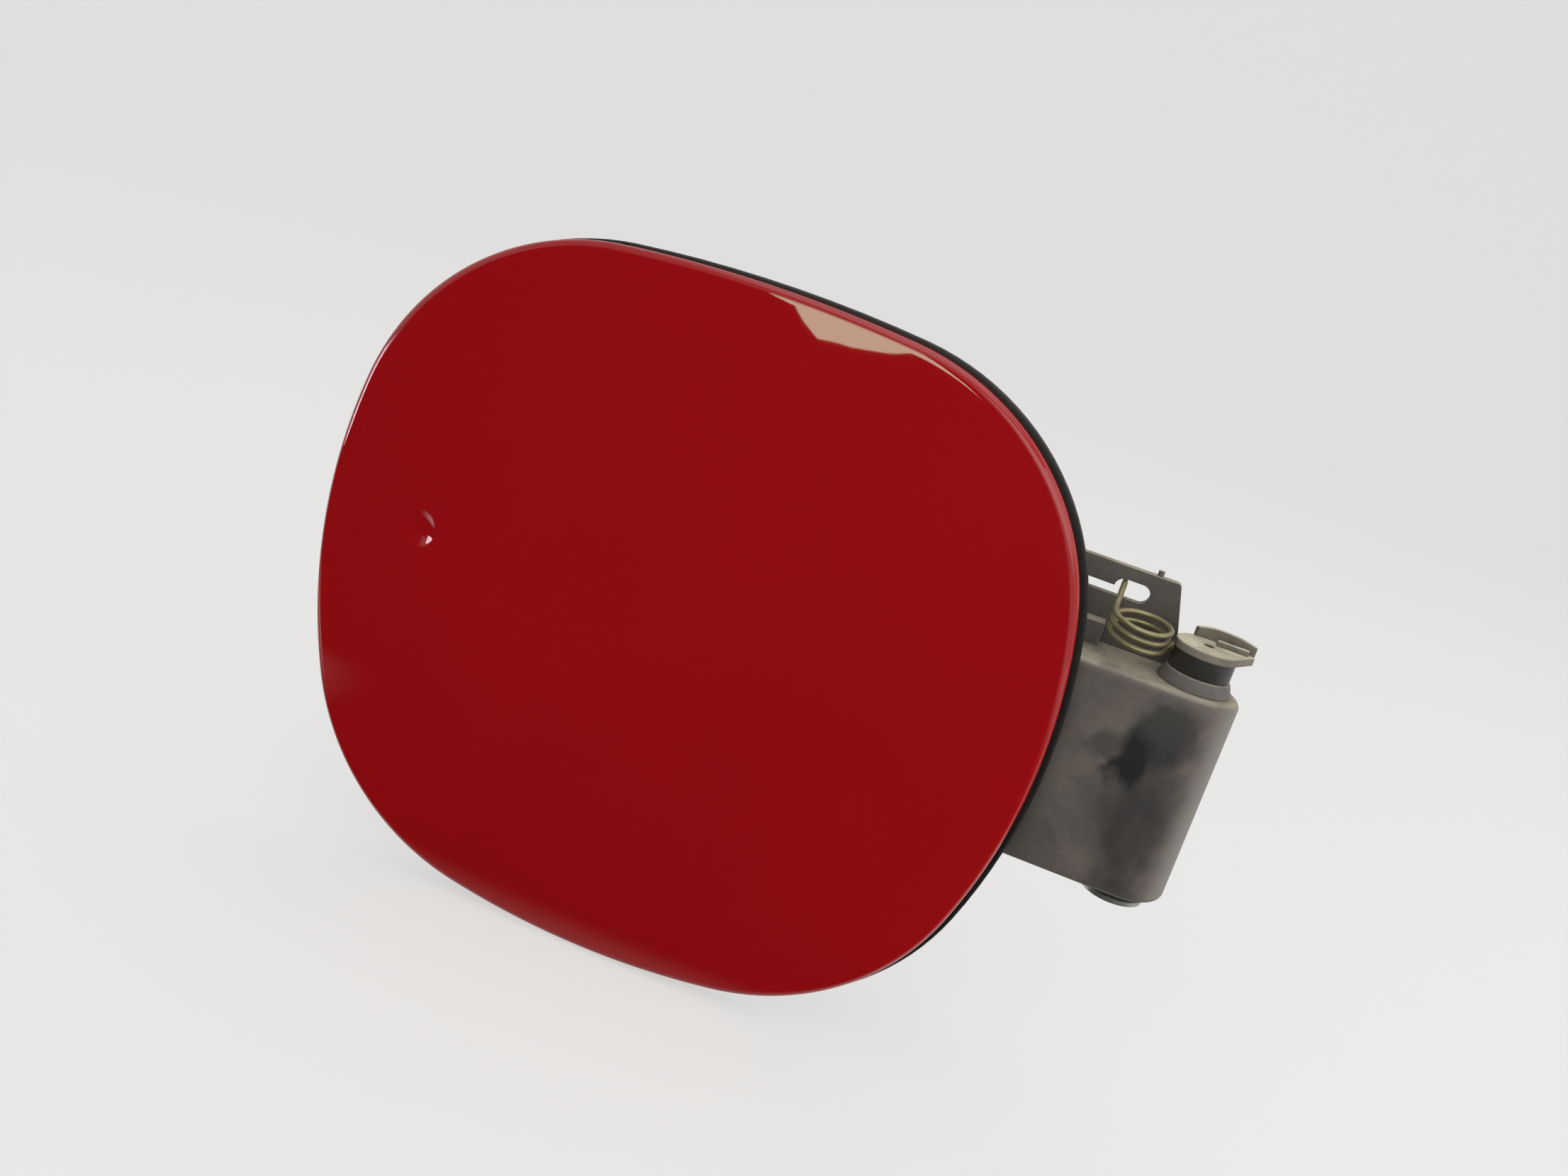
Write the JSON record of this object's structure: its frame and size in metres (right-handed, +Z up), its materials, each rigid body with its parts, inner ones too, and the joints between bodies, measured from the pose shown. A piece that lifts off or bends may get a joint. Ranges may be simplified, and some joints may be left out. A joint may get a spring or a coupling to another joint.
{
  "type": "car fuel door",
  "caption": "Domed painted flap with softly rounded corners on a moulded gooseneck hinge arm, with a pivot pin, a coil hold-open spring, a lock striker and rubber stops.",
  "frame": {"origin": "on the hinge axis, at the mouth of the socket in the pivot pin's foot", "axes": "+X from the door to its hinge side, +Y from outside into the car, +Z up along the hinge axis"},
  "size_m": [0.203, 0.0387, 0.157],
  "materials": {
    "red_paint": "glossy red car paint with clear coat, one ding",
    "black_moulding": "black moulded plastic, dusty",
    "black_acetal": "black acetal, satin",
    "plated_steel": "zinc plated",
    "spring_wire": "yellowish passivated zinc on spring wire, dull",
    "buffer_rubber": "moulded rubber"
  },
  "bodies": {
    "pivot": {"hinge_pin": "black_acetal", "pin_clip": "plated_steel"},
    "door": {"outer_skin": "red_paint", "inner_panel": "black_moulding", "hinge_arm": "black_moulding", "upper_bush": "black_acetal", "lower_bush": "black_acetal", "hold_spring": "spring_wire", "arm_screws": "plated_steel", "striker": "plated_steel", "striker_screws": "plated_steel", "upper_buffer": "buffer_rubber", "lower_buffer": "buffer_rubber"}
  },
  "joints": [
    {"name": "door_swing", "type": "hinge", "parent": "pivot", "child": "door", "pos_m": [0, 0, 0], "axis": [0, 0, 1], "range_deg": [0, 95]}
  ]
}
